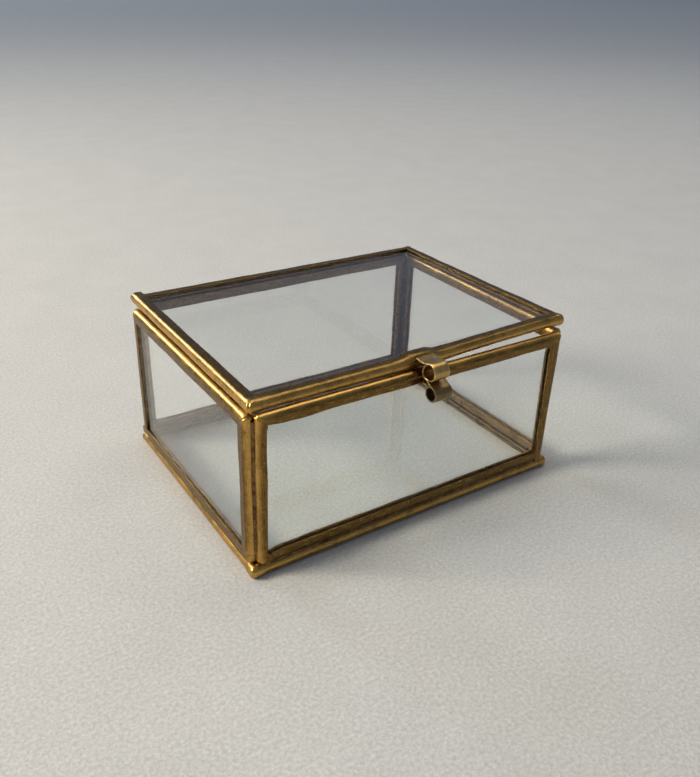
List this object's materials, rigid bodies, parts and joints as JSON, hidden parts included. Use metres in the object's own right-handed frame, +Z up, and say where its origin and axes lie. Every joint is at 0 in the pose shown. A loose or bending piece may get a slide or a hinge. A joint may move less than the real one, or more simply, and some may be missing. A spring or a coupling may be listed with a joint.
{
  "type": "glass jewelry box",
  "caption": "Small clear glass keepsake box with brass-edged panes, a lid hinged at the back and a rolled-strip clasp at the front.",
  "frame": {"origin": "on the surface that the box stands on, at the middle of the outline it covers, clasp and hinges included", "axes": "+Z up; the clasp and the front panel face -Y; +X is to the right as seen from the front"},
  "size_m": [0.1, 0.0836, 0.0491],
  "materials": {
    "brass_channel": "aged satin brass, darker in the grooves",
    "brass_strip": "aged satin brass strip",
    "hinge_wire": "drawn brass wire",
    "solder": "brass-coloured solder, dull and slightly lumpy",
    "glass": "clear float glass with a faint green-grey tint"
  },
  "bodies": {
    "box": {"base_channel": "brass_channel", "front_channel": "brass_channel", "back_channel": "brass_channel", "left_channel": "brass_channel", "right_channel": "brass_channel", "base_glass": "glass", "front_glass": "glass", "back_glass": "glass", "left_glass": "glass", "right_glass": "glass", "front_left_seam": "solder", "back_left_seam": "solder", "front_right_seam": "solder", "back_right_seam": "solder", "base_front_seam": "solder", "base_back_seam": "solder", "base_left_seam": "solder", "base_right_seam": "solder", "box_clasp_curl": "brass_strip", "box_clasp_solder": "solder", "left_hinge_inner_box_roll": "brass_strip", "left_hinge_outer_box_roll": "brass_strip", "left_hinge_pin": "hinge_wire", "right_hinge_inner_box_roll": "brass_strip", "right_hinge_outer_box_roll": "brass_strip", "right_hinge_pin": "hinge_wire"},
    "lid": {"lid_glass": "glass", "lid_channel": "brass_channel", "lid_clasp_curl": "brass_strip", "lid_clasp_solder": "solder", "left_hinge_lid_roll": "brass_strip", "right_hinge_lid_roll": "brass_strip", "left_hinge_solder": "solder", "right_hinge_solder": "solder"}
  },
  "joints": [
    {"name": "lid_hinge", "type": "hinge", "parent": "box", "child": "lid", "pos_m": [0, 0.0404, 0.045], "axis": [-1, 0, 0], "range_deg": [0, 110]}
  ]
}
